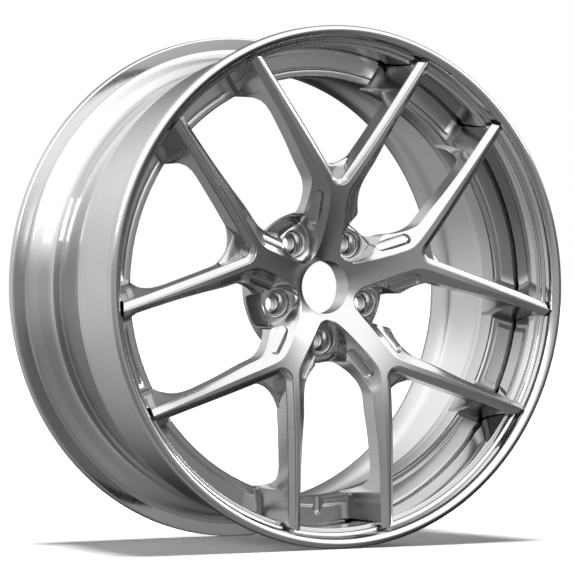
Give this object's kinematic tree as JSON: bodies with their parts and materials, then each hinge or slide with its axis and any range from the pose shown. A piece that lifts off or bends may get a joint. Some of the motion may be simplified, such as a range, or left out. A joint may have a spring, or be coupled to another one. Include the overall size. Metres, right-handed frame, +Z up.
{
  "type": "forged racing wheel rim",
  "caption": "Two-piece forged racing wheel with paired Y spokes, stepped lip barrel, lug seats and a clamp-in valve.",
  "frame": {"origin": "middle of the wheel, on the axle line, half way between the two flanges", "axes": "+Y along the axle towards the car, -Y towards the street side, +Z up; the wheel stands on its flanges with the valve at the bottom"},
  "size_m": [0.541, 0.2418, 0.541],
  "materials": {
    "forged_metal": "satin polished",
    "barrel_metal": "polished",
    "seat_steel": "machined",
    "bolt_steel": "dark plated",
    "valve_metal": "plated",
    "valve_rubber": "matt",
    "cap_plastic": "matt",
    "pin_steel": "machined"
  },
  "bodies": {
    "wheel": {"forged_centre": "forged_metal", "barrel": "barrel_metal", "lug_seat_1": "seat_steel", "lug_seat_2": "seat_steel", "lug_seat_3": "seat_steel", "lug_seat_4": "seat_steel", "lug_seat_5": "seat_steel", "assembly_bolt_01": "bolt_steel", "assembly_bolt_02": "bolt_steel", "assembly_bolt_03": "bolt_steel", "assembly_bolt_04": "bolt_steel", "assembly_bolt_05": "bolt_steel", "assembly_bolt_06": "bolt_steel", "assembly_bolt_07": "bolt_steel", "assembly_bolt_08": "bolt_steel", "assembly_bolt_09": "bolt_steel", "assembly_bolt_10": "bolt_steel", "assembly_bolt_11": "bolt_steel", "assembly_bolt_12": "bolt_steel", "assembly_bolt_13": "bolt_steel", "assembly_bolt_14": "bolt_steel", "assembly_bolt_15": "bolt_steel", "assembly_bolt_16": "bolt_steel", "assembly_bolt_17": "bolt_steel", "assembly_bolt_18": "bolt_steel", "assembly_bolt_19": "bolt_steel", "assembly_bolt_20": "bolt_steel", "valve_stem": "valve_metal", "valve_seal": "valve_rubber", "valve_washer": "valve_metal", "valve_nut": "valve_metal", "valve_core": "valve_metal", "valve_cap": "cap_plastic"},
    "pin": {"valve_pin": "pin_steel"}
  },
  "joints": [
    {"name": "valve_pin_press", "type": "slide", "parent": "wheel", "child": "pin", "axis": [0, 0, -1], "range_m": [0, 0.0012], "stiffness_N_per_m": 400, "springref_m": -0.001}
  ]
}
